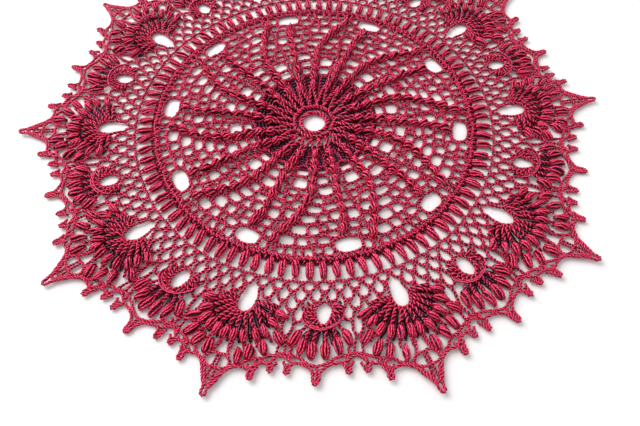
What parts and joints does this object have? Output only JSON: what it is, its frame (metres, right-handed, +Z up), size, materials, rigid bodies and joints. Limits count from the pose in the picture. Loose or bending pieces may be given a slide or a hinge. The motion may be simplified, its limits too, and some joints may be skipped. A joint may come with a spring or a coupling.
{
  "type": "lace doily",
  "caption": "Round crocheted cotton doily lying flat, with a swirled openwork centre, a net round, stitch fans and a pointed scalloped edge.",
  "frame": {"origin": "on the resting surface, under the middle of the outline's box, close to the centre ring", "axes": "+Z up out of the cloth, -Y towards the picture's camera, +X to its right"},
  "size_m": [0.299, 0.2856, 0.0038],
  "materials": {
    "cotton_thread": "mercerised crochet cotton, deep crimson, soft sheen"
  },
  "bodies": {
    "root": {"doily": "cotton_thread"}
  },
  "joints": []
}
